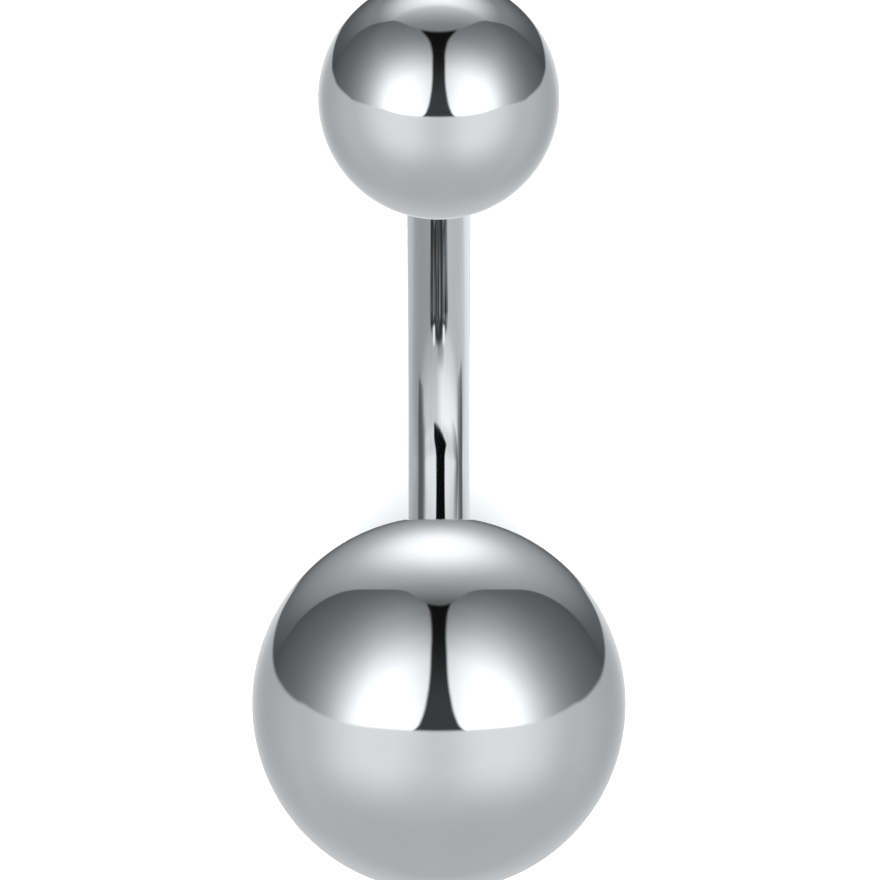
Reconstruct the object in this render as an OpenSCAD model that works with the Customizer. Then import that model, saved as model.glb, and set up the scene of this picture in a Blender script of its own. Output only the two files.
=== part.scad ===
// Navel ring: a curved bar with a small ball and a large ball screwed onto its two ends.
// It lies as it comes to rest by itself: on its two balls, small ball towards +Y, with the
// bulge of the bar hanging down between them. The origin is on the ground, midway along
// its length.

/* [Bar] */
// Diameter of the bar
bar_d = 1.63; // [1.3:0.01:1.9]
// Length of the plain bar that shows between the two balls, along its middle line
bar_length = 10; // [8:0.25:10.25]
// Straight part of the plain bar next to the small ball
top_straight = 3.5; // [3.3:0.1:4.5]
// Straight part of the plain bar next to the large ball
bottom_straight = 1.5; // [1.3:0.1:2.5]
// Radius that the middle line of the bar is bent to between its straight parts
bend_radius = 6.3; // [6.1:0.1:10]

/* [Balls] */
// Diameter of the small ball, worn above the navel
top_ball_d = 6; // [5.5:0.25:7]
// Diameter of the large ball, worn in the navel
bottom_ball_d = 10; // [9:0.25:12]
// Width of the chamfer round the mouth of each ball's hole
mouth_chamfer = 0.12; // [0.05:0.01:0.2]

/* [Threads] */
// How much lower the crest of the threads is than the surface of the bar
crest_drop = 0.015; // [0.01:0.005:0.05]
// Pitch of the threads
thread_pitch = 0.35; // [0.25:0.05:0.5]
// Length of the bar's threaded end in the small ball
top_thread_length = 2.8; // [2:0.1:3.4]
// Length of the bar's threaded end in the large ball
bottom_thread_length = 3.5; // [2:0.1:5]
// Plain neck between the bar's full width and the first turn of a thread
thread_runout = 0.3; // [0.1:0.05:0.6]
// Width of the chamfer on each end of the bar
end_chamfer = 0.2; // [0.1:0.05:0.4]

/* [Fits] */
// Radial clearance between the crest of a thread and the wall of its hole
hole_clearance = 0.04; // [0.02:0.01:0.08]
// Depth of the turns cut into the wall of a ball's hole
hole_turn_depth = 0.12; // [0.05:0.01:0.2]
// Gap between the end of the bar and the full width of the hole's bottom
end_gap = 0.15; // [0.05:0.05:0.4]

/* [Hidden] */

steel_colour = [0.78, 0.78, 0.8];
bar_colour = [0.7, 0.7, 0.72];
ball_facets = 192;
bar_facets = 64;
flank_angle = 30;
drill_point_angle = 31;
// How far a cutting shape stands out of the ball that it cuts
cut_margin = 1;
// How far the foot of a straight end reaches into the bend
foot = 0.1;

bar_r = bar_d / 2;
thread_r = bar_r - crest_drop;
hole_r = thread_r + hole_clearance;
top_ball_r = top_ball_d / 2;
bottom_ball_r = bottom_ball_d / 2;

// A turn of the thread: a flat crest of an eighth of the pitch, a flat root of a quarter
crest_flat = thread_pitch / 8;
root_flat = thread_pitch / 4;
flank_width = (thread_pitch - crest_flat - root_flat) / 2;
thread_depth = flank_width / tan(flank_angle);

// The bar's own plane is [along, up]: along runs to the small ball, up to the hollow side,
// and [0, 0] is the lowest point of the bend's middle line
bend_length = bar_length - top_straight - bottom_straight;
half_bend = bend_length / bend_radius * 90 / PI;
function beyond_bend(straight) = [
    bend_radius * sin(half_bend) + straight * cos(half_bend),
    bend_radius * (1 - cos(half_bend)) + straight * sin(half_bend)
];

// From an end of the plain bar to the centre of the ball there, so that it meets its surface
function seat(ball_r) = sqrt(ball_r^2 - bar_r^2);
top_centre = beyond_bend(top_straight + seat(top_ball_r));
bottom_centre = beyond_bend(bottom_straight + seat(bottom_ball_r));

// The ring tips towards the small ball until both balls touch the ground
span = top_centre.x + bottom_centre.x;
rise = bottom_centre.y - top_centre.y;
lie_angle = asin((bottom_ball_r - top_ball_r) / norm([span, rise])) - atan2(rise, span);
function lain(along, up) = [
    along * cos(lie_angle) + up * sin(lie_angle),
    up * cos(lie_angle) - along * sin(lie_angle)
];
top_lain = lain(top_centre.x, top_centre.y);
bottom_lain = lain(-bottom_centre.x, bottom_centre.y);
lift = top_ball_r - top_lain.y;
shift = (bottom_ball_r - top_ball_r - top_lain.x - bottom_lain.x) / 2;

// Puts what is drawn in the bar's own plane where it lies on the ground
module as_it_lies() {
    translate([0, shift, lift]) rotate([-lie_angle, 0, 0]) children();
}

// Puts what is drawn along +Z from the origin onto the end of a straight part
module at_end_of(straight) {
    junction = beyond_bend(straight);
    translate([0, junction.x, junction.y]) rotate([half_bend - 90, 0, 0]) children();
}

module at_top_end() {
    at_end_of(top_straight) children();
}

module at_bottom_end() {
    mirror([0, 1, 0]) at_end_of(bottom_straight) children();
}

// Outline points of the turns of a thread, from z = first on, cut to depth from radius r:
// inwards where depth is below zero, outwards where it is above
function turns(r, depth, first, count) = [
    for (turn = [0 : count - 1], corner = [0 : 3])
        let (
            across = [0, flank_width, flank_width + root_flat, 2 * flank_width + root_flat],
            deep = corner == 1 || corner == 2
        )
        [r + (deep ? depth : 0), first + turn * thread_pitch + across[corner]]
];

function turn_count(length) = floor((length - thread_runout - end_chamfer) / thread_pitch);

// One end of the bar: its straight plain part below z = 0, with a foot that reaches into the
// bend, and its thread above
module straight_end(straight, length) {
    rotate_extrude($fn = bar_facets)
        polygon(concat(
            [[0, -straight - foot], [thread_r, -straight - foot], [thread_r, -straight]],
            [[bar_r, -straight], [bar_r, 0], [thread_r, 0]],
            turns(thread_r, -thread_depth, thread_runout, turn_count(length)),
            [[thread_r, length - end_chamfer], [thread_r - end_chamfer, length], [0, length]]
        ));
}

// The bend of the bar, in the bar's own plane
module bend() {
    translate([0, 0, bend_radius])
        rotate([0, 90, 0])
            rotate([0, 0, -half_bend])
                rotate_extrude(angle = 2 * half_bend, $fn = 4 * bar_facets)
                    translate([bend_radius, 0])
                        circle(bar_r, $fn = bar_facets);
}

// A ball on +Z with its hole facing the origin, where the plain bar ends. The poles of
// its sphere lie level with the bar's middle, clear of the spot that it rests on.
module drilled_ball(ball_r, thread_length) {
    mouth_r = hole_r + mouth_chamfer;
    mouth_z = seat(ball_r) - sqrt(ball_r^2 - mouth_r^2);
    hole_bottom = thread_length + end_gap;
    difference() {
        translate([0, 0, seat(ball_r)])
            rotate([-half_bend, 0, 0])
                sphere(ball_r, $fn = ball_facets);
        rotate_extrude($fn = bar_facets)
            polygon(concat(
                [[0, mouth_z - cut_margin], [mouth_r + cut_margin, mouth_z - cut_margin]],
                [[hole_r, mouth_z + mouth_chamfer]],
                turns(hole_r, hole_turn_depth, thread_runout, turn_count(thread_length)),
                [[hole_r, hole_bottom], [0, hole_bottom + hole_r * tan(drill_point_angle)]]
            ));
    }
}

module curved_bar() {
    color(bar_colour)
        as_it_lies() {
            bend();
            at_top_end() straight_end(top_straight, top_thread_length);
            at_bottom_end() straight_end(bottom_straight, bottom_thread_length);
        }
}

module top_ball() {
    color(steel_colour)
        as_it_lies() at_top_end() drilled_ball(top_ball_r, top_thread_length);
}

module bottom_ball() {
    color(steel_colour)
        as_it_lies() at_bottom_end() drilled_ball(bottom_ball_r, bottom_thread_length);
}

curved_bar();
top_ball();
bottom_ball();
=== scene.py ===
"""Navel ring: a curved bar with a small and a large screw-on ball, in mirror-polished steel.

The ring lies on a pale floor on its two balls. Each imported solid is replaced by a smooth
mesh of the same size, with the screw threads cut as real helices.
"""

import logging
from collections.abc import Iterable
from dataclasses import dataclass, field
from enum import Enum
from math import asin, atan2, ceil, cos, hypot, pi, radians, sin, sqrt, tan

import bmesh
import bpy
from mathutils import Matrix, Vector

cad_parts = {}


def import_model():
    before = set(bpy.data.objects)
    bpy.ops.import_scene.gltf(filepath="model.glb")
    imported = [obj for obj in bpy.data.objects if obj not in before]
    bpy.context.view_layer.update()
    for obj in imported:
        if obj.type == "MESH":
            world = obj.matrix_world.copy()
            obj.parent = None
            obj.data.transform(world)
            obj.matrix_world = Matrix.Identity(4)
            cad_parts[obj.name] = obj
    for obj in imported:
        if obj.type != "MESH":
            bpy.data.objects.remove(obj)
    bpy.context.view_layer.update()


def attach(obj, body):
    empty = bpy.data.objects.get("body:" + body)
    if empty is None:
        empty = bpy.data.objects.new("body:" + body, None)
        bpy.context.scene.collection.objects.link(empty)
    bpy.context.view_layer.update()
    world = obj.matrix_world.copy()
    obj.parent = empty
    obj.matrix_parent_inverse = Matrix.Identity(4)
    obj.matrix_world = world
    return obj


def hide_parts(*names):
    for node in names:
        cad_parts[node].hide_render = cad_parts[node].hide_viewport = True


MM = 0.001
SPHERE_SUBDIVISIONS = 5
LOG = logging.getLogger("navel_ring")

Colour = tuple[float, float, float]
Curve = tuple[tuple[float, float], ...]
Socket = bpy.types.NodeSocket
Value = float | bpy.types.NodeSocket


def angles(*degrees: float) -> tuple[float, ...]:
    """Turns degrees into radians."""
    return tuple(radians(angle) for angle in degrees)


# Sizes and layout


class End(Enum):
    """The two ends of the bar, with the turn about +Z that takes the first to the second."""

    TOP = 0.0
    BOTTOM = pi


@dataclass(frozen=True)
class Thread:
    """A screw thread that starts beyond a plain neck.

    Attributes:
        pitch: distance from one turn to the next.
        neck: plain length before the first turn.
        flank_angle: half the angle between the two flanks.
        end_chamfer: width of the chamfer on the bar's end.
        clearance: radial gap between the crests and the wall of the hole.
        groove: depth of the turns cut into the wall of the hole.
    """

    pitch: float = 0.35 * MM
    neck: float = 0.3 * MM
    flank_angle: float = radians(30)
    end_chamfer: float = 0.2 * MM
    clearance: float = 0.04 * MM
    groove: float = 0.12 * MM

    @property
    def crest_flat(self) -> float:
        """Width of the flat on a crest."""
        return self.pitch / 8

    @property
    def root_flat(self) -> float:
        """Width of the flat at a root."""
        return self.pitch / 4

    @property
    def flank_width(self) -> float:
        """Width of one flank, along the axis."""
        return (self.pitch - self.crest_flat - self.root_flat) / 2

    @property
    def depth(self) -> float:
        """Depth of the roots below the crests."""
        return self.flank_width / tan(self.flank_angle)


@dataclass(frozen=True)
class RingSizes:
    """The driving sizes of the ring, in metres, the same as those of the solids."""

    bar_diameter: float = 1.63 * MM
    bar_length: float = 10 * MM
    top_straight: float = 3.5 * MM
    bottom_straight: float = 1.5 * MM
    bend_radius: float = 6.3 * MM
    top_ball_diameter: float = 6 * MM
    bottom_ball_diameter: float = 10 * MM
    top_thread_length: float = 2.8 * MM
    bottom_thread_length: float = 3.5 * MM
    crest_drop: float = 0.015 * MM
    mouth_chamfer: float = 0.12 * MM
    end_gap: float = 0.15 * MM
    drill_point_angle: float = radians(31)
    thread: Thread = field(default_factory=Thread)

    @property
    def bar_radius(self) -> float:
        """Radius of the plain bar."""
        return self.bar_diameter / 2

    @property
    def crest_radius(self) -> float:
        """Radius of the crests of the bar's threads."""
        return self.bar_radius - self.crest_drop

    @property
    def hole_radius(self) -> float:
        """Radius of the holes in the balls."""
        return self.crest_radius + self.thread.clearance

    @property
    def half_bend(self) -> float:
        """Angle from the middle of the bend to where either straight part starts."""
        bend_length = self.bar_length - self.top_straight - self.bottom_straight
        return bend_length / self.bend_radius / 2

    def ball_radius(self, end: End) -> float:
        """Radius of the ball at an end."""
        return (self.top_ball_diameter if end is End.TOP else self.bottom_ball_diameter) / 2

    def straight(self, end: End) -> float:
        """Length of the straight part of the plain bar at an end."""
        return self.top_straight if end is End.TOP else self.bottom_straight

    def thread_length(self, end: End) -> float:
        """Length of the threaded end inside the ball."""
        return self.top_thread_length if end is End.TOP else self.bottom_thread_length

    def seat(self, end: End) -> float:
        """Distance from the end of the plain bar to the centre of the ball there."""
        return sqrt(self.ball_radius(end) ** 2 - self.bar_radius**2)


@dataclass(frozen=True)
class RingLayout:
    """Where the parts lie when the ring rests on its two balls.

    Attributes:
        sizes: the ring's driving sizes.
    """

    sizes: RingSizes

    def on_bend(self, angle: float, beyond: float = 0.0) -> tuple[float, float]:
        """Finds a point in the bar's own plane.

        Args:
            angle: angle along the bend from its lowest point.
            beyond: straight distance on along the tangent from there.

        Returns:
            The distances along the ring and up from the bend's lowest point.
        """
        r = self.sizes.bend_radius
        along = r * sin(angle) + beyond * cos(angle)
        up = r * (1 - cos(angle)) + beyond * sin(angle)
        return along, up

    def placement(self) -> Matrix:
        """Tips the bar's own plane until both balls touch the floor.

        Returns:
            The matrix from the bar's own plane to the row frame.
        """
        s = self.sizes
        top, bottom = (self.on_bend(s.half_bend, s.straight(end) + s.seat(end)) for end in End)
        top_r, bottom_r = s.ball_radius(End.TOP), s.ball_radius(End.BOTTOM)
        span, rise = top[0] + bottom[0], bottom[1] - top[1]
        lie = asin((bottom_r - top_r) / hypot(span, rise)) - atan2(rise, span)
        tip = Matrix.Rotation(-lie, 4, "X")
        top_lain = tip @ Vector((0, top[0], top[1]))
        bottom_lain = tip @ Vector((0, -bottom[0], bottom[1]))
        shift = (bottom_r - top_r - top_lain.y - bottom_lain.y) / 2
        return Matrix.Translation((0, shift, top_r - top_lain.z)) @ tip

    def at_end(self, end: End) -> Matrix:
        """Places what is drawn along +Z from the origin on an end of the plain bar.

        Args:
            end: which end of the bar.

        Returns:
            The matrix from the drawing to the row frame.
        """
        along, up = self.on_bend(self.sizes.half_bend, self.sizes.straight(end))
        stand = Matrix.Translation((0, along, up))
        stand = stand @ Matrix.Rotation(self.sizes.half_bend - pi / 2, 4, "X")
        return self.placement() @ Matrix.Rotation(end.value, 4, "Z") @ stand


# Mesh building


def make_object(
    name: str, bm: bmesh.types.BMesh, finishes: Iterable[bpy.types.Material]
) -> bpy.types.Object:
    """Makes an object and puts it into the scene.

    Args:
        name: name of the object.
        bm: its shape, which this call uses up.
        finishes: its materials, in the order of the faces' indices.

    Returns:
        The new object.
    """
    mesh = bpy.data.meshes.new(name)
    bm.to_mesh(mesh)
    bm.free()
    for finish in finishes:
        mesh.materials.append(finish)
    made = bpy.data.objects.new(name, mesh)
    bpy.context.scene.collection.objects.link(made)
    return made


@dataclass
class TurnedMesh:
    """Collects strips of faces that go round an axis, and joins them into one mesh.

    Attributes:
        steps: number of steps in a full turn.
        bm: the mesh so far.
    """

    steps: int
    bm: bmesh.types.BMesh = field(default_factory=bmesh.new)

    WELD = 2e-8
    SHARP = radians(22)

    def angle(self, step: int) -> float:
        """Angle round the axis at a step."""
        return 2 * pi * step / self.steps

    def point(self, place: Matrix, step: int, radius: float, height: float) -> Vector:
        """Finds a point round the axis.

        Args:
            place: where the axis goes.
            step: the step round it.
            radius: the distance from it.
            height: the height along it.

        Returns:
            The point.
        """
        angle = self.angle(step)
        return place @ Vector((radius * cos(angle), radius * sin(angle), height))

    def strip(self, columns: list[list[Vector]], turn_rows: int = 0, finish: int = 0) -> None:
        """Adds the faces between neighbouring columns of points.

        Args:
            columns: one list of points for each step round the axis, all equally long.
            turn_rows: how many rows a thread climbs in a turn, so that its last column
                joins its first one turn further on.
            finish: index of the faces' material.
        """
        verts = [[self.bm.verts.new(p) for p in column] for column in columns]
        last_row = len(verts[0]) - 1
        for step in range(self.steps):
            wraps = step == self.steps - 1
            here, there = verts[step], verts[0 if wraps else step + 1]
            lag = turn_rows if wraps else 0
            for row in range(last_row):
                corners = (
                    here[row],
                    there[min(row + lag, last_row)],
                    there[min(row + 1 + lag, last_row)],
                    here[row + 1],
                )
                if len(set(corners)) >= 3:
                    self.bm.faces.new(dict.fromkeys(corners)).material_index = finish

    def lathe(self, outline: Iterable[tuple[float, float]], place: Matrix, finish: int = 0) -> None:
        """Turns an outline round +Z.

        Args:
            outline: radius and height of each point.
            place: where the turned shape goes.
            finish: index of the faces' material.
        """
        steps = range(self.steps)
        columns = [[self.point(place, step, r, z) for r, z in outline] for step in steps]
        self.strip(columns, finish=finish)

    def helix(
        self,
        profile: list[tuple[float, float]],
        pitch: float,
        reach: tuple[float, float],
        plain: float,
        place: Matrix,
        finish: int,
    ) -> None:
        """Cuts a thread round +Z between two plain ends.

        Args:
            profile: height within the pitch and radius of each corner of one turn.
            pitch: height of one turn.
            reach: heights at which the thread starts and ends.
            plain: radius at both ends, into which the thread fades.
            place: where the thread goes.
            finish: index of the faces' material.
        """
        start, stop = reach
        fade = pitch / 2
        # One turn more at each end, so that the ends are full in every column
        turns = range(-1, ceil((stop - start) / pitch) + 1)
        columns = []
        for step in range(self.steps):
            column = []
            for turn in turns:
                for offset, radius in profile:
                    z = start + turn * pitch + offset + pitch * step / self.steps
                    z = min(max(z, start), stop)
                    share = min(1.0, (z - start) / fade, (stop - z) / fade)
                    r = plain + (radius - plain) * share
                    column.append(self.point(place, step, r, z))
            columns.append(column)
        self.strip(columns, turn_rows=len(profile), finish=finish)

    def object(self, name: str, finishes: Iterable[bpy.types.Material]) -> bpy.types.Object:
        """Welds the strips and makes the object.

        Args:
            name: name of the piece.
            finishes: its materials, in the order of the faces' indices.

        Returns:
            The new object, shaded smooth up to its sharp edges.
        """
        bmesh.ops.remove_doubles(self.bm, verts=self.bm.verts, dist=self.WELD)
        bmesh.ops.dissolve_degenerate(self.bm, edges=self.bm.edges, dist=self.WELD)
        bmesh.ops.recalc_face_normals(self.bm, faces=self.bm.faces)
        made = make_object(name, self.bm, finishes)
        made.data.shade_smooth()
        made.data.set_sharp_from_angle(angle=self.SHARP)
        return made


# Finishes


@dataclass(frozen=True)
class Direction:
    """The direction from an object's middle to the point that is painted.

    Attributes:
        facing: the direction itself.
        right: its share along X, below zero on the left.
        side: its share to either side.
        front: its share against Y, below zero behind.
        up: its share along Z, below zero underneath.
    """

    facing: Socket
    right: Socket
    side: Socket
    front: Socket
    up: Socket


class Sheet:
    """A material's node tree, with short ways to add the nodes that this scene uses."""

    COOL_WHITE = (0.985, 1.01)

    def __init__(self, name: str) -> None:
        """Starts a new material.

        Args:
            name: name of the material.
        """
        self.material = bpy.data.materials.new(name)
        self.material.use_nodes = True
        self.tree = self.material.node_tree
        self.tree.nodes.clear()

    def add(self, kind: str, inputs: dict | None = None, **settings: object) -> bpy.types.Node:
        """Adds a node.

        Args:
            kind: the node's type, without the words ShaderNode.
            inputs: values or sockets for its inputs, by name or number.
            settings: the node's own settings.

        Returns:
            The new node.
        """
        node = self.tree.nodes.new("ShaderNode" + kind)
        for key, value in settings.items():
            setattr(node, key, value)
        for key, value in (inputs or {}).items():
            if isinstance(value, Socket):
                self.tree.links.new(value, node.inputs[key])
            else:
                node.inputs[key].default_value = value
        return node

    def math(self, operation: str, *values: Value) -> Socket:
        """Adds a math node.

        Args:
            operation: the node's operation.
            values: its inputs, in order.

        Returns:
            The result.
        """
        return self.add("Math", dict(enumerate(values)), operation=operation).outputs[0]

    def times(self, *values: Value) -> Socket:
        """Multiplies values.

        Args:
            values: two or more values.

        Returns:
            Their product.
        """
        product, *others = values
        for other in others:
            product = self.math("MULTIPLY", product, other)
        return product

    def minus(self, a: Value, b: Value) -> Socket:
        """Takes the second value from the first one."""
        return self.math("SUBTRACT", a, b)

    def off(self, value: Value, middle: float) -> Socket:
        """Distance of a value from a middle one, to either side."""
        return self.math("ABSOLUTE", self.minus(value, middle))

    def ease(self, value: Value, low: float, high: float) -> Socket:
        """Eases a value from 0 at low to 1 at high.

        Args:
            value: the value.
            low: where the result is 0.
            high: where the result is 1.

        Returns:
            The eased value.
        """
        inputs = {"Value": value, "From Min": low, "From Max": high}
        node = self.add("MapRange", inputs, interpolation_type="SMOOTHSTEP")
        return node.outputs["Result"]

    def blend(self, share: Value, a: Value, b: Value) -> Socket:
        """Blends two values.

        Args:
            share: 0 for a, 1 for b.
            a: the first value.
            b: the second value.

        Returns:
            The value between them.
        """
        return self.add("Mix", {0: share, 2: a, 3: b}, data_type="FLOAT").outputs[0]

    def curve(self, value: Value, points: Curve) -> Socket:
        """Runs a value from 0 to 1 through a smooth curve.

        Args:
            value: the value.
            points: the curve's points, from left to right.

        Returns:
            The curve's height there.
        """
        node = self.add("FloatCurve", {"Value": value})
        node.mapping.use_clip = False
        line = node.mapping.curves[0]
        while len(line.points) < len(points):
            line.points.new(0, 0)
        for point, place in zip(line.points, points, strict=True):
            point.location = place
        node.mapping.update()
        return node.outputs[0]

    def noise(
        self,
        where: Socket,
        scale: float,
        detail: float,
        roughness: float = 0.5,
        output: str = "Fac",
    ) -> Socket:
        """Adds a noise texture.

        Args:
            where: the place that it reads.
            scale: number of its patches in a unit of length.
            detail: number of finer layers in it.
            roughness: strength of each finer layer next to the one before.
            output: which of its outputs is used.

        Returns:
            That output.
        """
        inputs = {"Vector": where, "Scale": scale, "Detail": detail, "Roughness": roughness}
        return self.add("TexNoise", inputs).outputs[output]

    def direction(self) -> Direction:
        """Reads the direction from the object's middle.

        Returns:
            The direction and its shares.
        """
        place = self.add("TexCoord").outputs["Object"]
        facing = self.add("VectorMath", {0: place}, operation="NORMALIZE").outputs[0]
        right, away, up = self.add("SeparateXYZ", {0: facing}).outputs
        return Direction(
            facing, right, self.math("ABSOLUTE", right), self.times(away, -1.0), up
        )

    def glow(self, light: Socket, strength: float) -> bpy.types.Node:
        """Makes the surface glow in a cool white.

        Args:
            light: how bright each point is, as a share of the strength.
            strength: the strength.

        Returns:
            The shader.
        """
        red, blue = (self.times(light, share) for share in self.COOL_WHITE)
        colour = self.add("CombineColor", {0: red, 1: light, 2: blue})
        return self.add("Emission", {"Color": colour.outputs[0], "Strength": strength})

    def let_through(self, shader: bpy.types.Node) -> bpy.types.Node:
        """Adds the light of what is behind the surface to its own.

        Args:
            shader: the surface's own shader.

        Returns:
            The shader of both.
        """
        clear = self.add("BsdfTransparent")
        return self.add("AddShader", {0: shader.outputs[0], 1: clear.outputs[0]})

    def steel(
        self,
        dulled: Socket,
        colours: tuple[Colour, Colour],
        roughness: Socket,
        relief: Socket,
        depth: float,
    ) -> bpy.types.Material:
        """Finishes the material as bare steel.

        Args:
            dulled: 0 where the steel is clean, 1 where it is dull.
            colours: colour of the clean steel and of the dull steel.
            roughness: the roughness.
            relief: height of the fine relief, from 0 to 1.
            depth: what that is multiplied by, below zero for scratches.

        Returns:
            The finished material.
        """
        clean, dull = ((*colour, 1.0) for colour in colours)
        bump = self.add("Bump", {"Height": relief, "Strength": 1.0, "Distance": depth})
        tone = self.add("Mix", {0: dulled, 6: clean, 7: dull}, data_type="RGBA")
        shader = self.add(
            "BsdfPrincipled",
            {
                "Base Color": tone.outputs[2],
                "Metallic": 1.0,
                "Roughness": roughness,
                "Normal": bump.outputs[0],
            },
        )
        return self.finish(shader)

    def finish(self, shader: bpy.types.Node) -> bpy.types.Material:
        """Connects the shader to the material's output.

        Args:
            shader: the last shader node.

        Returns:
            The finished material.
        """
        self.add("OutputMaterial", {"Surface": shader.outputs[0]})
        return self.material


def darker(colour: Colour, share: float) -> Colour:
    """Multiplies a colour by a share."""
    red, green, blue = colour
    return share * red, share * green, share * blue


@dataclass(frozen=True)
class PolishedSteel:
    """Mirror-polished surgical steel, with hairline scratches and a trace of handling.

    Attributes:
        name: name of the material.
        colour: reflection at right angles to the surface.
        gloss: lowest and highest roughness.
        haze_size: size of the patches of faint haze.
        scratch_size: width of the hairline scratches.
        scratch_depth: depth of the scratches.
    """

    name: str = "polished_steel"
    colour: Colour = (0.69, 0.70, 0.715)
    gloss: tuple[float, float] = (0.025, 0.06)
    haze_size: float = 1.6 * MM
    scratch_size: float = 0.02 * MM
    scratch_depth: float = 0.00002 * MM

    HAZE_RANGE = (0.35, 0.75)
    HAZE_DARKENS = 0.97
    SCRATCH_RANGE = (0.62, 0.74)
    SCRATCH_WEAR = 0.8
    SCRATCH_TURN = (0.5, 0.9, 0.3)
    SCRATCH_STRETCH = (1.0, 0.04, 0.3)
    SCRATCH_WAVES = 0.4

    def material(self) -> bpy.types.Material:
        """Makes the material.

        Returns:
            The material.
        """
        sheet = Sheet(self.name)
        place = sheet.add("TexCoord").outputs["Object"]
        haze = sheet.noise(place, 1 / self.haze_size, detail=4.0, roughness=0.6)
        waves = self.SCRATCH_WAVES / self.haze_size
        warp = sheet.noise(place, waves, detail=1.0, output="Color")
        swirl = sheet.add("VectorMath", {0: warp, "Scale": 2 * self.haze_size}, operation="SCALE")
        bent = sheet.add("VectorMath", {0: place, 1: swirl.outputs[0]}, operation="ADD")
        inputs = {
            "Vector": bent.outputs[0],
            "Rotation": self.SCRATCH_TURN,
            "Scale": self.SCRATCH_STRETCH,
        }
        stretched = sheet.add("Mapping", inputs).outputs[0]
        lines = sheet.noise(stretched, 1 / self.scratch_size, detail=2.0)
        scratches = sheet.ease(lines, *self.SCRATCH_RANGE)
        patches = sheet.ease(haze, *self.HAZE_RANGE)
        worn = sheet.math("MAXIMUM", patches, sheet.times(scratches, self.SCRATCH_WEAR))
        colours = (self.colour, darker(self.colour, self.HAZE_DARKENS))
        roughness = sheet.blend(worn, *self.gloss)
        return sheet.steel(patches, colours, roughness, scratches, -self.scratch_depth)


@dataclass(frozen=True)
class DrawnSteel:
    """The bar's polished wire, with fine draw lines along it.

    Attributes:
        name: name of the material.
        colour: reflection at right angles to the surface.
        gloss: lowest and highest roughness.
        line_width: width of the draw lines.
        line_depth: depth of the draw lines.
        line_stretch: how many times longer than wide the lines are.
    """

    name: str = "drawn_steel"
    colour: Colour = (0.66, 0.67, 0.685)
    gloss: tuple[float, float] = (0.04, 0.12)
    line_width: float = 0.06 * MM
    line_depth: float = 0.0003 * MM
    line_stretch: float = 60.0

    LAY = "along_bar"
    LINE_RANGE = (0.4, 0.7)
    LINES_DARKEN = 0.93
    PATCH_SIZE = 1 * MM

    def material(self) -> bpy.types.Material:
        """Makes the material, which reads how each point lies along and round the bar.

        Returns:
            The material.
        """
        sheet = Sheet(self.name)
        lay = sheet.add("Attribute", attribute_name=self.LAY).outputs["Vector"]
        stretch = (1.0, 1.0, 1 / self.line_stretch)
        stretched = sheet.add("Mapping", {"Vector": lay, "Scale": stretch}).outputs[0]
        lines = sheet.noise(stretched, 1 / self.line_width, detail=3.0, roughness=0.6)
        patches = sheet.noise(lay, 1 / self.PATCH_SIZE, detail=3.0)
        drawn = sheet.times(sheet.ease(lines, *self.LINE_RANGE), patches)
        colours = (self.colour, darker(self.colour, self.LINES_DARKEN))
        roughness = sheet.blend(drawn, *self.gloss)
        return sheet.steel(drawn, colours, roughness, lines, self.line_depth)


@dataclass(frozen=True)
class CutThread:
    """Steel as the die and the tap leave it: satin, with tool marks and darker patches at random.

    Attributes:
        name: name of the material.
        crest: colour of the clean metal; in the tapped holes a near-black painted shade.
        root: colour of the patches with a trace of polish and oil in them; in the tapped holes a
            darker painted shade.
        gloss: lowest and highest roughness.
        grain: size of the tool marks.
    """

    name: str = "cut_thread"
    crest: Colour = (0.62, 0.62, 0.63)
    root: Colour = (0.4, 0.39, 0.38)
    gloss: tuple[float, float] = (0.18, 0.42)
    grain: float = 0.03 * MM

    FILM_SIZE = 0.5 * MM
    FILM_RANGE = (0.4, 0.7)
    MARK_DEPTH = 0.02

    def material(self) -> bpy.types.Material:
        """Makes the material.

        Returns:
            The material.
        """
        sheet = Sheet(self.name)
        place = sheet.add("TexCoord").outputs["Object"]
        marks = sheet.noise(place, 1 / self.grain, detail=4.0)
        film = sheet.noise(place, 1 / self.FILM_SIZE, detail=3.0)
        oily = sheet.ease(film, *self.FILM_RANGE)
        roughness = sheet.blend(marks, *self.gloss)
        depth = self.MARK_DEPTH * self.grain
        return sheet.steel(oily, (self.crest, self.root), roughness, marks, depth)


# The ring's parts


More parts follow.
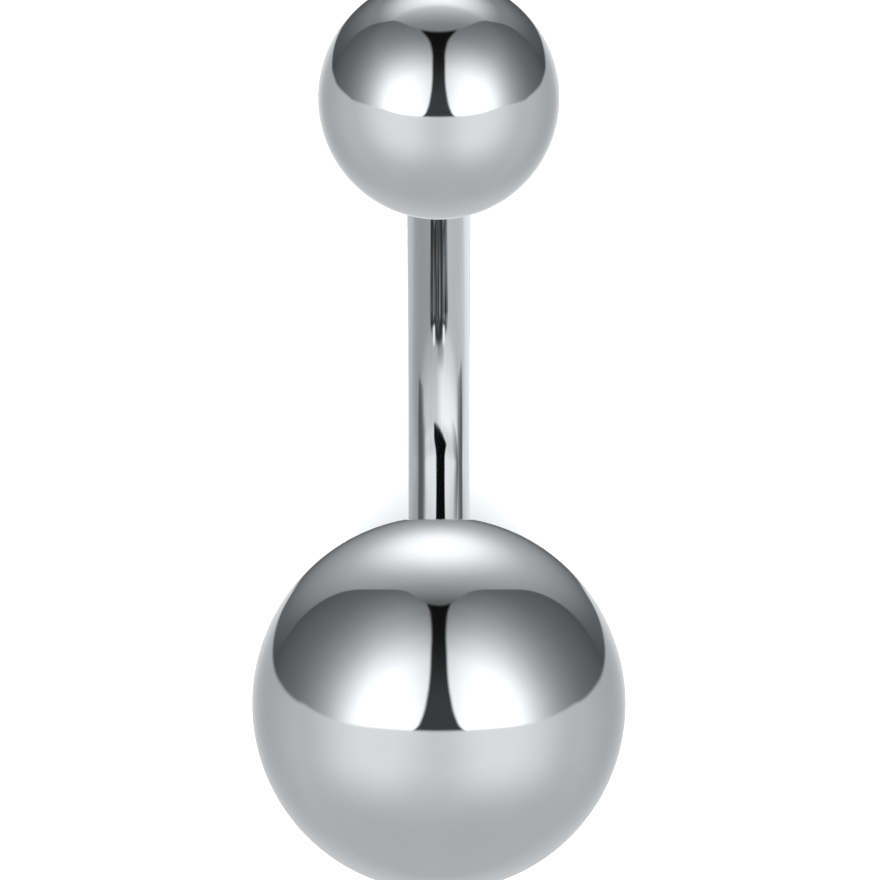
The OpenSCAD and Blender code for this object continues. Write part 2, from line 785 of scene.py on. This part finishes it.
@dataclass
class CurvedBar:
    """The bent bar with its two threaded ends.

    Attributes:
        layout: the ring's layout.
        finishes: materials of the plain bar and of its threads.
        bend_steps: number of steps along the bend.
        straight_steps: number of steps along each straight part.
    """

    layout: RingLayout
    finishes: tuple[bpy.types.Material, bpy.types.Material]
    bend_steps: int = 144
    straight_steps: int = 12

    NAME = "bar_polished"
    AROUND = 128

    def build(self) -> bpy.types.Object:
        """Builds the bar and lets it stand for the solid.

        Returns:
            The bar.
        """
        turned = TurnedMesh(self.AROUND)
        self.add_plain_bar(turned)
        for end in End:
            self.add_threaded_end(turned, end)
        bar = turned.object(self.NAME, self.finishes)
        self.mark_lay(bar)
        bar.visible_glossy = False
        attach(bar, "bar")
        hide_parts("curved_bar")
        return bar

    def stations(self) -> list[tuple[float, float]]:
        """Lists where the rings of points lie along the plain bar.

        Returns:
            The angle on the bend and the straight distance beyond it of each ring.
        """
        sizes, half = self.layout.sizes, self.layout.sizes.half_bend
        low, high = sizes.straight(End.BOTTOM), sizes.straight(End.TOP)
        shares = [step / self.straight_steps for step in range(self.straight_steps)]
        bend = [half * (2 * step / self.bend_steps - 1) for step in range(self.bend_steps + 1)]
        return [
            *((-half, -low * (1 - share)) for share in shares),
            *((angle, 0.0) for angle in bend),
            *((half, high * (1 - share)) for share in reversed(shares)),
        ]

    def add_plain_bar(self, turned: TurnedMesh) -> None:
        """Sweeps the plain bar along its middle line.

        Args:
            turned: the mesh to add to.
        """
        sizes, place = self.layout.sizes, self.layout.placement()
        columns = []
        for k in range(turned.steps):
            across = sizes.bar_radius * cos(turned.angle(k))
            inward = sizes.bar_radius * sin(turned.angle(k))
            column = []
            for angle, beyond in self.stations():
                along, up = self.layout.on_bend(angle, beyond)
                spot = Vector((across, along - inward * sin(angle), up + inward * cos(angle)))
                column.append(place @ spot)
            columns.append(column)
        turned.strip(columns)

    def add_threaded_end(self, turned: TurnedMesh, end: End) -> None:
        """Adds the step down to the thread, the thread and the chamfered end face.

        Args:
            turned: the mesh to add to.
            end: which end of the bar.
        """
        sizes, thread = self.layout.sizes, self.layout.sizes.thread
        place, length = self.layout.at_end(end), sizes.thread_length(end)
        crest, root = sizes.crest_radius, sizes.crest_radius - thread.depth
        last = length - thread.end_chamfer
        turned.lathe([(sizes.bar_radius, 0), (crest, 0), (crest, thread.neck)], place, finish=1)
        profile = [
            (0.0, crest),
            (thread.flank_width, root),
            (thread.flank_width + thread.root_flat, root),
            (2 * thread.flank_width + thread.root_flat, crest),
        ]
        turned.helix(profile, thread.pitch, (thread.neck, last), crest, place, finish=1)
        tip = [(crest, last), (crest - thread.end_chamfer, length), (0, length)]
        turned.lathe(tip, place, finish=1)

    def mark_lay(self, bar: bpy.types.Object) -> None:
        """Stores for each point how it lies round and along the bar.

        Args:
            bar: the bar, in the row frame.
        """
        sizes, back = self.layout.sizes, self.layout.placement().inverted()
        lay = bar.data.attributes.new(DrawnSteel.LAY, "FLOAT_VECTOR", "POINT")
        for vert, spot in zip(bar.data.vertices, lay.data, strict=True):
            own = back @ vert.co
            angle = atan2(own.y, sizes.bend_radius - own.z)
            angle = min(max(angle, -sizes.half_bend), sizes.half_bend)
            along, up = self.layout.on_bend(angle)
            own.y, own.z = own.y - along, own.z - up
            inward = own.z * cos(angle) - own.y * sin(angle)
            beyond = own.y * cos(angle) + own.z * sin(angle)
            spot.vector = (own.x, inward, sizes.bend_radius * angle + beyond)


@dataclass
class Ball:
    """A ball with a blind threaded hole.

    Attributes:
        layout: the ring's layout.
        end: which end of the bar it screws onto.
        finishes: materials of the polished ball and of its hole, whose dark colour is painted
            shade.
        rows: number of rows from its far pole to the mouth of the hole.
    """

    layout: RingLayout
    end: End
    finishes: tuple[bpy.types.Material, bpy.types.Material]
    rows: int = 144

    AROUND = 224

    @property
    def body(self) -> str:
        """Name of the body that it moves with, and of the solid that it stands for."""
        return f"{self.end.name.lower()}_ball"

    def build(self) -> bpy.types.Object:
        """Builds the ball and lets it stand for the solid.

        Returns:
            The ball.
        """
        turned = TurnedMesh(self.AROUND)
        place = self.layout.at_end(self.end)
        mouth = self.add_outside(turned, place)
        self.add_hole(turned, place, mouth)
        ball = turned.object(f"{self.body}_polished", self.finishes)
        ball.visible_glossy = False
        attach(ball, self.body)
        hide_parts(self.body)
        return ball

    def add_outside(self, turned: TurnedMesh, place: Matrix) -> float:
        """Turns the ball's outside, from its far pole to the mouth of the hole.

        Args:
            turned: the mesh to add to.
            place: where the ball goes.

        Returns:
            Height of the mouth's rim.
        """
        sizes = self.layout.sizes
        radius, centre = sizes.ball_radius(self.end), sizes.seat(self.end)
        rim = sizes.hole_radius + sizes.mouth_chamfer
        sweep = pi - asin(rim / radius)
        sweeps = [sweep * row / self.rows for row in range(self.rows + 1)]
        outline = [(radius * sin(a), centre + radius * cos(a)) for a in sweeps]
        turned.lathe(outline, place)
        return outline[-1][1]

    def add_hole(self, turned: TurnedMesh, place: Matrix, mouth: float) -> None:
        """Adds the chamfered, threaded hole with the cone that the drill leaves.

        Args:
            turned: the mesh to add to.
            place: where the ball goes.
            mouth: height of the mouth's rim.
        """
        sizes, thread = self.layout.sizes, self.layout.sizes.thread
        wall, groove = sizes.hole_radius, sizes.hole_radius + thread.groove
        bottom = sizes.thread_length(self.end) + sizes.end_gap
        first, last = thread.neck, sizes.thread_length(self.end) - thread.end_chamfer
        rim = (wall + sizes.mouth_chamfer, mouth)
        turned.lathe([rim, (wall, mouth + sizes.mouth_chamfer), (wall, first)], place, finish=1)
        middle = thread.root_flat + 2 * thread.flank_width
        profile = [
            (0.0, wall),
            (thread.root_flat, wall),
            (thread.root_flat + thread.flank_width, groove),
            (middle, groove),
            (middle + thread.crest_flat / 2, groove - thread.groove / 2),
        ]
        turned.helix(profile, thread.pitch, (first, last), wall, place, finish=1)
        cone = bottom + wall * tan(sizes.drill_point_angle)
        turned.lathe([(wall, last), (wall, bottom), (0, cone)], place, finish=1)


# The studio


@dataclass(frozen=True)
class CameraRig:
    """The camera, at the photograph's angle to the ring.

    Attributes:
        lens: focal length, in millimetres.
        sensor: width of the sensor, in millimetres.
        tilt: angle of the line of sight from straight down.
        place: where the camera stands.
        clip: nearest and furthest distance that it sees.
    """

    lens: float = 128.0
    sensor: float = 36.0
    tilt: float = radians(28.4)
    place: tuple[float, float, float] = (0.03 * MM, 38.78 * MM, 75.38 * MM)
    clip: tuple[float, float] = (5 * MM, 5.0)

    def build(self) -> bpy.types.Object:
        """Makes the camera and gives it to the scene.

        Returns:
            The camera.
        """
        data = bpy.data.cameras.new("camera")
        data.lens = self.lens
        data.sensor_width = self.sensor
        data.clip_start, data.clip_end = self.clip
        camera = bpy.data.objects.new("camera", data)
        camera.location = self.place
        camera.rotation_euler = (-self.tilt, 0, 0)
        bpy.context.scene.collection.objects.link(camera)
        bpy.context.scene.camera = camera
        return camera


@dataclass(frozen=True)
class PaperFloor:
    """The matt, near-white paper under the ring.

    Attributes:
        colour: colour of the paper.
        gloss: lowest and highest roughness.
        shine: strength of the paper's faint shine.
        grain: size of the paper's grain.
        width: width of the floor.
    """

    colour: Colour = (0.93, 0.935, 0.94)
    gloss: tuple[float, float] = (0.85, 1.0)
    shine: float = 0.1
    grain: float = 0.2 * MM
    width: float = 1.6

    def build(self) -> bpy.types.Object:
        """Makes the floor, which isn't part of the ring.

        Returns:
            The floor.
        """
        bm = bmesh.new()
        half = self.width / 2
        corners = ((-half, -half), (half, -half), (half, half), (-half, half))
        bm.faces.new([bm.verts.new((x, y, 0)) for x, y in corners])
        floor = make_object("floor", bm, [self.material()])
        floor.visible_glossy = False
        return floor

    def material(self) -> bpy.types.Material:
        """Makes the paper.

        Returns:
            The material.
        """
        sheet = Sheet("paper")
        place = sheet.add("TexCoord").outputs["Object"]
        grain = sheet.noise(place, 1 / self.grain, detail=3.0)
        shader = sheet.add(
            "BsdfPrincipled",
            {
                "Base Color": (*self.colour, 1.0),
                "Roughness": sheet.blend(grain, *self.gloss),
                "Specular IOR Level": self.shine,
            },
        )
        return sheet.finish(shader)


def sphere(radius: float) -> bmesh.types.BMesh:
    """Makes a fine sphere."""
    bm = bmesh.new()
    bmesh.ops.create_icosphere(bm, subdivisions=SPHERE_SUBDIVISIONS, radius=radius)
    return bm


def hang_skin(
    name: str,
    bm: bmesh.types.BMesh,
    finish: bpy.types.Material,
    place: Matrix,
    mirrors: Iterable[bpy.types.Object],
) -> bpy.types.Object:
    """Hangs a glowing skin round the ring that shows only in some pieces' reflections.

    Args:
        name: name of the skin.
        bm: its shape, which this call uses up.
        finish: its material.
        place: where it hangs.
        mirrors: the pieces that mirror it.

    Returns:
        The skin.
    """
    finish.cycles.emission_sampling = "NONE"
    skin = make_object(name, bm, [finish])
    skin.matrix_world = place
    skin.visible_camera = False
    skin.visible_diffuse = False
    skin.visible_transmission = False
    skin.visible_shadow = False
    lit = bpy.data.collections.new(f"{name}_lights")
    for piece in mirrors:
        lit.objects.link(piece)
    skin.light_linking.receiver_collection = lit
    return skin


@dataclass(frozen=True)
class StudioTent:
    """The light tent that a ball mirrors, painted by direction from its middle.

    The tent's own axes are X to the right, Y level with its table and away from the camera,
    and Z up from the table. It holds a pale table below, two glowing panels in front with a
    dark slit between them, and a soft lamp in a grey back wall. Its skin is as far off as the
    camera in front, close overhead and far behind and to the sides. Each ball has a tent of
    its own, as the lamp and the far edge of the table lie higher for the small one.

    The numbers of its paint are shares of the direction, and light as a share of the glow.

    Attributes:
        end: the end of the bar with the ball that mirrors it.
        middle: where the tent's middle is, halfway between the balls.
        front: distance to the skin in front.
        overhead: distance to the skin above and below.
        behind: distance to the skin behind.
        sideways: how much further off the skin is at the sides.
        narrowest: least share of a direction across the tent, which ends it at the sides.
        edge_below_camera: angle from the camera down to the table's front edge.
        glow: strength that a white panel shines with.
    """

    end: End
    middle: tuple[float, float, float] = (0.0, 1 * MM, 4 * MM)
    front: float = 81 * MM
    overhead: float = 22 * MM
    behind: float = 300 * MM
    sideways: float = 500 * MM
    narrowest: float = 0.12
    edge_below_camera: float = radians(16.6)
    glow: float = 1.7

    # The small ball's tent hangs just inside the large one's
    SCALE = {End.TOP: 0.998, End.BOTTOM: 1.0}
    # How soon the skin draws back behind, and how late it does at the sides
    DRAW_BACK = 1.3
    SIDE_POWER = 8

    # Direction of the lamp, and light of the back wall by how nearly a direction is the lamp's
    LAMP = {End.TOP: (0.0, 0.407, 0.914), End.BOTTOM: (0.0, 0.68, 0.733)}
    BACK_WALL = {
        End.TOP: (
            *((0.0, 0.06), (0.55, 0.075), (0.66, 0.11), (0.76, 0.16), (0.82, 0.185)),
            *((0.86, 0.25), (0.9, 0.36), (0.935, 0.5), (0.97, 0.65), (1.0, 0.82)),
        ),
        End.BOTTOM: (
            *((0.0, 0.07), (0.55, 0.09), (0.62, 0.13), (0.7, 0.19), (0.8, 0.27)),
            *((0.86, 0.34), (0.91, 0.46), (0.95, 0.62), (0.975, 0.77), (1.0, 0.92)),
        ),
    }

    # Height of the table's far edge by distance from the middle, and where it takes effect
    FAR_EDGE = {
        End.TOP: (
            *((0.0, 0.0), (0.2, 0.04), (0.42, 0.11), (0.6, 0.135)),
            *((0.76, 0.108), (0.83, 0.094), (0.93, 0.058), (1.0, 0.05)),
        ),
        End.BOTTOM: (
            *((0.0, -0.25), (0.1, -0.24), (0.2, -0.2), (0.25, -0.165), (0.33, -0.115)),
            *((0.45, -0.095), (0.6, -0.07), (0.75, -0.06), (0.86, -0.053), (0.94, -0.04)),
            (1.0, -0.045),
        ),
    }
    FAR_RANGE = (0.15, -0.4)
    TABLE_EDGE = (-0.03, 0.01)

    # How far round from the front the panels' top edge lies, by distance from the middle
    PANEL_TOP = (
        *((0.0, 0.26), (0.1, 0.24), (0.2, 0.17), (0.34, -0.02)),
        *((0.53, -0.24), (0.67, -0.47), (0.78, -0.61), (1.0, -0.8)),
    )
    PANEL_TOP_EDGE = (-0.02, 0.02)

    # The panels' light from back to front, by distance from the middle, and its strength
    PANEL_AHEAD = (
        *((0.0, 0.02), (0.25, 0.05), (0.5, 0.11), (0.62, 0.19)),
        *((0.7, 0.3), (0.8, 0.55), (0.9, 0.86), (1.0, 1.0)),
    )
    PANEL_ACROSS = ((0.0, 0.42), (0.25, 0.6), (0.5, 0.81), (0.75, 0.99), (1.0, 1.0))
    PANEL_LIGHT = 1.48

    # Half the slit's width by height, its soft edge, and its light at the top and lower down
    SLIT_WIDTH = (
        *((0.0, 0.236), (0.04, 0.2), (0.1, 0.173), (0.2, 0.141), (0.3, 0.121), (0.46, 0.095)),
        *((0.7, 0.079), (0.9, 0.079), (0.94, 0.096), (0.97, 0.14), (1.0, 0.16)),
    )
    SLIT_EDGE = (-0.012, 0.03)
    SLIT_RANGE = (0.97, 0.2)
    SLIT_LIGHT = (0.004, 0.036)

    # The table's light right below and further out, and where it changes
    TABLE_LIGHT = (0.345, 0.385)
    TABLE_OUTWARD = (-0.95, -0.35)
    # Its light behind, in the middle and at the sides, and at its far end
    BEHIND_LIGHT = (0.4, 0.305)
    BEHIND_SIDE = (0.2, 0.8)
    BEHIND_RANGE = (0.0, -0.7)
    FAR_LIGHT = 0.47
    FAR_END = (-0.8, -0.97)
    # The most that the panels add to it, where they do, and what the slit leaves of that
    GLARE_LIGHT = 0.21
    GLARE_AHEAD = (0.0, 0.75)
    GLARE_BY_SLIT = 0.45
    GLARE_SIDE = (0.0, 0.5)

    @property
    def name(self) -> str:
        """Name of the tent."""
        return f"{self.end.name.lower()}_tent"

    def place(self, camera: CameraRig) -> Matrix:
        """Finds where the tent stands.

        Args:
            camera: the camera that the tent faces.

        Returns:
            The matrix from the tent's own axes to the row frame.
        """
        lean = camera.tilt - self.edge_below_camera
        return Matrix.Translation(self.middle) @ Matrix.Rotation(-pi / 2 - lean, 4, "X")

    def build(self, camera: CameraRig, mirrors: Iterable[bpy.types.Object]) -> bpy.types.Object:
        """Makes the tent.

        Args:
            camera: the camera that the tent faces.
            mirrors: the pieces that mirror it.

        Returns:
            The tent.
        """
        bm = sphere(1.0)
        for vert in bm.verts:
            vert.co *= self.SCALE[self.end] * self.reach(vert.co)
        return hang_skin(self.name, bm, self.material(), self.place(camera), mirrors)

    def reach(self, facing: Vector) -> float:
        """Finds how far off the skin is.

        Args:
            facing: direction from the tent's middle.

        Returns:
            The distance.
        """
        across = max(hypot(facing.y, facing.z), self.narrowest)
        ahead = -facing.y / across
        if ahead > 0:
            distance = max(self.front * ahead, self.overhead)
        else:
            share = min(-self.DRAW_BACK * ahead, 1.0) ** 2
            distance = self.overhead + (self.behind - self.overhead) * share
        return distance / across + self.sideways * facing.x**self.SIDE_POWER

    def material(self) -> bpy.types.Material:
        """Paints the tent. The inner one lets through the light of the outer one.

        Returns:
            The material.
        """
        sheet = Sheet(self.name)
        way = sheet.direction()
        below_top = sheet.minus(way.front, sheet.curve(way.side, self.PANEL_TOP))
        shown = sheet.ease(below_top, *self.PANEL_TOP_EDGE)
        upper = sheet.blend(shown, self.back_wall(sheet, way), self.panels(sheet, way))
        far_edge = sheet.curve(way.side, self.FAR_EDGE[self.end])
        edge = sheet.times(sheet.ease(way.front, *self.FAR_RANGE), far_edge)
        above_table = sheet.ease(sheet.minus(way.up, edge), *self.TABLE_EDGE)
        light = sheet.blend(above_table, self.table(sheet, way), upper)
        shader = sheet.glow(light, self.glow)
        if self.end is End.TOP:
            shader = sheet.let_through(shader)
        return sheet.finish(shader)

    def panels(self, sheet: Sheet, way: Direction) -> Socket:
        """Light of the two front panels, brightest ahead, and of the slit between them.

        Args:
            sheet: the material's nodes.
            way: the direction.

        Returns:
            The light.
        """
        ahead = sheet.curve(sheet.math("MULTIPLY_ADD", way.front, 0.5, 0.5), self.PANEL_AHEAD)
        panel = sheet.times(ahead, sheet.curve(way.side, self.PANEL_ACROSS), self.PANEL_LIGHT)
        beside = sheet.minus(way.side, sheet.curve(way.up, self.SLIT_WIDTH))
        slit = sheet.blend(sheet.ease(way.up, *self.SLIT_RANGE), *self.SLIT_LIGHT)
        return sheet.blend(sheet.ease(beside, *self.SLIT_EDGE), slit, panel)

    def back_wall(self, sheet: Sheet, way: Direction) -> Socket:
        """Light of the grey back wall and the soft lamp in it.

        Args:
            sheet: the material's nodes.
            way: the direction.

        Returns:
            The light.
        """
        inputs = {0: way.facing, 1: self.LAMP[self.end]}
        near_lamp = sheet.add("VectorMath", inputs, operation="DOT_PRODUCT")
        return sheet.curve(near_lamp.outputs["Value"], self.BACK_WALL[self.end])

    def table(self, sheet: Sheet, way: Direction) -> Socket:
        """Light of the pale table, brighter where the panels shine on it.

        Args:
            sheet: the material's nodes.
            way: the direction.

        Returns:
            The light.
        """
        by_slit = sheet.blend(sheet.ease(way.side, *self.GLARE_SIDE), self.GLARE_BY_SLIT, 1.0)
        outward = sheet.ease(way.up, *self.TABLE_OUTWARD)
        glare = sheet.times(sheet.ease(way.front, *self.GLARE_AHEAD), by_slit, outward)
        near = sheet.blend(outward, *self.TABLE_LIGHT)
        behind = sheet.blend(sheet.ease(way.side, *self.BEHIND_SIDE), *self.BEHIND_LIGHT)
        table = sheet.blend(sheet.ease(way.front, *self.BEHIND_RANGE), near, behind)
        table = sheet.blend(sheet.ease(way.front, *self.FAR_END), table, self.FAR_LIGHT)
        return sheet.math("MULTIPLY_ADD", glare, self.GLARE_LIGHT, table)


@dataclass(frozen=True)
class BarScreens:
    """The round of grey screens close about the ring that the bar mirrors.

    It has the tent's axes, and is painted by the angle round the X axis, which is 0 ahead and
    a quarter turn overhead. A pale wall runs all round it. A dark, streaked strip with glints lies
    low in it: a painted reflection of the large ball, which the bar does not mirror. A black slit
    stands ahead, and a grey cap closes it on each side. It is brighter on the right.

    Attributes:
        radius: radius of the sphere.
        glow: strength that its brightest part shines with.
    """

    radius: float = 21 * MM
    glow: float = 1.25

    # Where the left ends and the right starts
    MIDDLE = (-0.3, 0.3)

    # The wall's light once round, from right behind by way of below, ahead and above
    WALL = (
        *((0.0, 0.68), (0.06, 0.64), (0.1, 0.5), (0.18, 0.44), (0.26, 0.43), (0.31, 0.455)),
        *((0.34, 0.54), (0.37, 0.6), (0.39, 0.65), (0.425, 0.745), (0.46, 0.8), (0.49, 0.82)),
        *((0.514, 0.75), (0.54, 0.92), (0.6, 0.8), (0.75, 0.36), (0.9, 0.28), (1.0, 0.68)),
    )
    # Its share of that low down, on the left and on the right, and where it gets all of it
    WALL_SHARES = (0.83, 1.3)
    WALL_AHEAD = angles(-9, 0)

    # Where the caps start: low down, ahead and, on the right, overhead
    LEFT_CAP = (0.83, 0.78)
    RIGHT_CAP = (0.84, 0.5, 0.78)
    CAP_AHEAD = angles(-28, -10)
    CAP_OVERHEAD = angles(-5, 12)
    # Where they are fully dark, how far they bow out in front and how far back they reach,
    # each on the left and on the right
    CAP_FULL = (0.96, 1.04)
    CAP_BOW = (0.0, -0.3)
    CAP_BACK = (-0.06, -0.32)
    CAP_BACK_EDGE = (0.0, 0.1)
    CAP_BOTTOM = (-0.385, -0.335)
    CAP_LIGHT = 0.12

    # The painted reflection of the large ball: the strip's tip, how much further down it starts
    # at the sides, and its soft edges
    STRIP_TIP = radians(-50)
    STRIP_DROP = -1.2
    STRIP_TOP = angles(5, -4)
    STRIP_SIDE = (0.5, 0.43)
    STRIP_END = angles(-115, -95)
    STRIP_LIGHT = 0.03
    # Its streaks: their size, stretch and contrast, and their light low down and higher up
    STREAK_SIZE = 9.0
    STREAK_STRETCH = 0.35
    STREAK_RANGE = (0.4, 0.65)
    STREAK_LIGHT = (0.26, 0.1)
    STREAK_CHANGE = angles(-70, -64)
    # The two painted glints beside its tip, part of that painted reflection
    GLINT_SIDE = 0.29
    GLINT_WIDTH = (0.09, 0.03)
    GLINT_TURN = radians(-57)
    GLINT_HEIGHT = angles(8.5, 4)
    # A smoky darker patch over it, also part of that painted reflection, and what that leaves of
    # the light
    SMOKE_RIGHT = 0.1
    SMOKE_WIDTH = (0.3, 0.1)
    SMOKE_TOP = angles(-31, -46)
    SMOKE_SHARE = 0.55

    # The slit, half its width at its foot and higher up, and its soft edges
    SLIT_RIGHT = 0.11
    SLIT_WIDTH = (0.46, 0.31)
    SLIT_CHANGE = angles(0, 13)
    SLIT_SIDE = (0.03, -0.03)
    SLIT_TOP = angles(75, 50)
    SLIT_LIGHT = 0.004
    # Its foot's height in the middle, its slant and its curve
    FOOT = angles(-3.6, 11, 7)
    FOOT_EDGE = angles(-1.5, 1.5)

    def build(self, place: Matrix, mirrors: Iterable[bpy.types.Object]) -> bpy.types.Object:
        """Makes the screens.

        Args:
            place: the tent's place.
            mirrors: the pieces that mirror them.

        Returns:
            The screens.
        """
        return hang_skin("screens", sphere(self.radius), self.material(), place, mirrors)

    def material(self) -> bpy.types.Material:
        """Paints the screens, which let through the light of what is behind them.

        Returns:
            The material.
        """
        sheet = Sheet("screens")
        way = sheet.direction()
        turn = sheet.math("ARCTAN2", way.up, way.front)
        to_right = sheet.ease(way.right, *self.MIDDLE)
        light = self.wall(sheet, turn, to_right)
        light = self.add_caps(sheet, light, way, turn, to_right)
        light = self.add_painted_ball_reflection(sheet, light, way, turn)
        light = self.add_slit(sheet, light, way, turn)
        return sheet.finish(sheet.let_through(sheet.glow(light, self.glow)))

    def wall(self, sheet: Sheet, turn: Socket, to_right: Socket) -> Socket:
        """Light of the pale wall, brightest ahead and dim overhead.

        Args:
            sheet: the material's nodes.
            turn: angle round the X axis.
            to_right: 0 on the left, 1 on the right.

        Returns:
            The light.
        """
        wall = sheet.curve(sheet.math("MULTIPLY_ADD", turn, 0.5 / pi, 0.5), self.WALL)
        ahead = sheet.ease(turn, *self.WALL_AHEAD)
        left, right = (sheet.blend(ahead, share, 1.0) for share in self.WALL_SHARES)
        return sheet.times(wall, sheet.blend(to_right, left, right))

    def add_caps(
        self, sheet: Sheet, light: Socket, way: Direction, turn: Socket, to_right: Socket
    ) -> Socket:
        """Darkens the wall on both sides, more widely the higher up.

        Args:
            sheet: the material's nodes.
            light: the light so far.
            way: the direction.
            turn: angle round the X axis.
            to_right: 0 on the left, 1 on the right.

        Returns:
            The light.
        """
        ahead = sheet.ease(turn, *self.CAP_AHEAD)
        low_rim, front_rim, top_rim = self.RIGHT_CAP
        right_rim = sheet.blend(sheet.ease(turn, *self.CAP_OVERHEAD), front_rim, top_rim)
        right_rim = sheet.blend(ahead, low_rim, right_rim)
        rim = sheet.blend(to_right, sheet.blend(ahead, *self.LEFT_CAP), right_rim)
        depth = sheet.minus(sheet.blend(to_right, *self.CAP_FULL), rim)
        bow = sheet.blend(to_right, *self.CAP_BOW)
        beyond = sheet.minus(sheet.math("MULTIPLY_ADD", way.front, bow, way.side), rim)
        cap = sheet.times(
            sheet.ease(sheet.math("DIVIDE", beyond, depth), 0.0, 1.0),
            sheet.ease(
                sheet.minus(way.front, sheet.blend(to_right, *self.CAP_BACK)), *self.CAP_BACK_EDGE
            ),
            sheet.ease(way.up, *self.CAP_BOTTOM),
        )
        return sheet.blend(cap, light, self.CAP_LIGHT)

    def add_painted_ball_reflection(
        self, sheet: Sheet, light: Socket, way: Direction, turn: Socket
    ) -> Socket:
        """Adds the dark, streaked strip that lies low in front, with a glint at its tip: a painted
        reflection of the large ball.

        Args:
            sheet: the material's nodes.
            light: the light so far.
            way: the direction.
            turn: angle round the X axis.

        Returns:
            The light.
        """
        along = sheet.times(turn, self.STREAK_STRETCH)
        where = sheet.add("CombineXYZ", {0: way.right, 1: along}).outputs[0]
        streaks = sheet.noise(where, self.STREAK_SIZE, detail=2.0)
        paler = sheet.blend(sheet.ease(turn, *self.STREAK_CHANGE), *self.STREAK_LIGHT)
        dark = sheet.blend(sheet.ease(streaks, *self.STREAK_RANGE), self.STRIP_LIGHT, paler)
        square = sheet.math("POWER", way.side, 2.0)
        tip = sheet.math("MULTIPLY_ADD", square, self.STRIP_DROP, self.STRIP_TIP)
        # The strip, the glints and the smoky patch are the painted reflection of the large ball
        strip = sheet.times(
            sheet.ease(sheet.minus(turn, tip), *self.STRIP_TOP),
            sheet.ease(way.side, *self.STRIP_SIDE),
            sheet.ease(turn, *self.STRIP_END),
        )
        glint = sheet.times(
            sheet.ease(sheet.off(way.side, self.GLINT_SIDE), *self.GLINT_WIDTH),
            sheet.ease(sheet.off(turn, self.GLINT_TURN), *self.GLINT_HEIGHT),
        )
        smoke = sheet.times(
            sheet.ease(sheet.off(way.right, self.SMOKE_RIGHT), *self.SMOKE_WIDTH),
            sheet.ease(turn, *self.SMOKE_TOP),
        )
        light = sheet.times(light, sheet.blend(smoke, 1.0, self.SMOKE_SHARE))
        return sheet.blend(glint, sheet.blend(strip, light, dark), 1.0)

    def add_slit(self, sheet: Sheet, light: Socket, way: Direction, turn: Socket) -> Socket:
        """Adds the black slit ahead, a little to the right, with a slanting foot.

        Args:
            sheet: the material's nodes.
            light: the light so far.
            way: the direction.
            turn: angle round the X axis.

        Returns:
            The light.
        """
        width = sheet.blend(sheet.ease(turn, *self.SLIT_CHANGE), *self.SLIT_WIDTH)
        beside = sheet.minus(sheet.off(way.right, self.SLIT_RIGHT), width)
        height, slant, curve = self.FOOT
        slope = sheet.math("MULTIPLY_ADD", way.right, curve, slant)
        foot = sheet.math("MULTIPLY_ADD", way.right, slope, height)
        slit = sheet.times(
            sheet.ease(beside, *self.SLIT_SIDE),
            sheet.ease(sheet.minus(turn, foot), *self.FOOT_EDGE),
            sheet.ease(turn, *self.SLIT_TOP),
        )
        return sheet.blend(slit, light, self.SLIT_LIGHT)


@dataclass(frozen=True)
class RoomLight:
    """The even, soft light that the paper stands in.

    Attributes:
        strength: brightness of the room.
    """

    strength: float = 2.35

    def build(self) -> bpy.types.World:
        """Makes the world.

        Returns:
            The world.
        """
        world = bpy.data.worlds.new("room")
        world.use_nodes = True
        background = world.node_tree.nodes["Background"]
        background.inputs["Strength"].default_value = self.strength
        background.inputs["Color"].default_value = (1, 1, 1, 1)
        bpy.context.scene.world = world
        bpy.context.scene.view_settings.view_transform = "Standard"
        return world


def main() -> None:
    """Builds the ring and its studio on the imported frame."""
    logging.basicConfig(level=logging.INFO, format="%(name)s: %(message)s")
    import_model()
    layout = RingLayout(RingSizes())
    polished, drawn, cut = PolishedSteel(), DrawnSteel(), CutThread()
    # The holes' finish is near-black steel: painted shade inside the blind holes
    hole_painted_shade = CutThread("hole_thread_painted_shade", crest=(0.15, 0.15, 0.155), root=(0.05, 0.049, 0.048))
    ball_finishes = (polished.material(), hole_painted_shade.material())
    bar_finishes = (drawn.material(), cut.material())
    camera = CameraRig()
    camera.build()
    bar = CurvedBar(layout, bar_finishes).build()
    balls = [Ball(layout, end, ball_finishes).build() for end in End]
    for piece in (bar, *balls):
        LOG.info("%s: %d faces", piece.name, len(piece.data.polygons))
    PaperFloor().build()
    tents = [StudioTent(end) for end in End]
    for tent, ball in zip(tents, balls, strict=True):
        tent.build(camera, [ball])
    BarScreens().build(tents[0].place(camera), [bar])
    RoomLight().build()


if __name__ == "__main__":
    main()
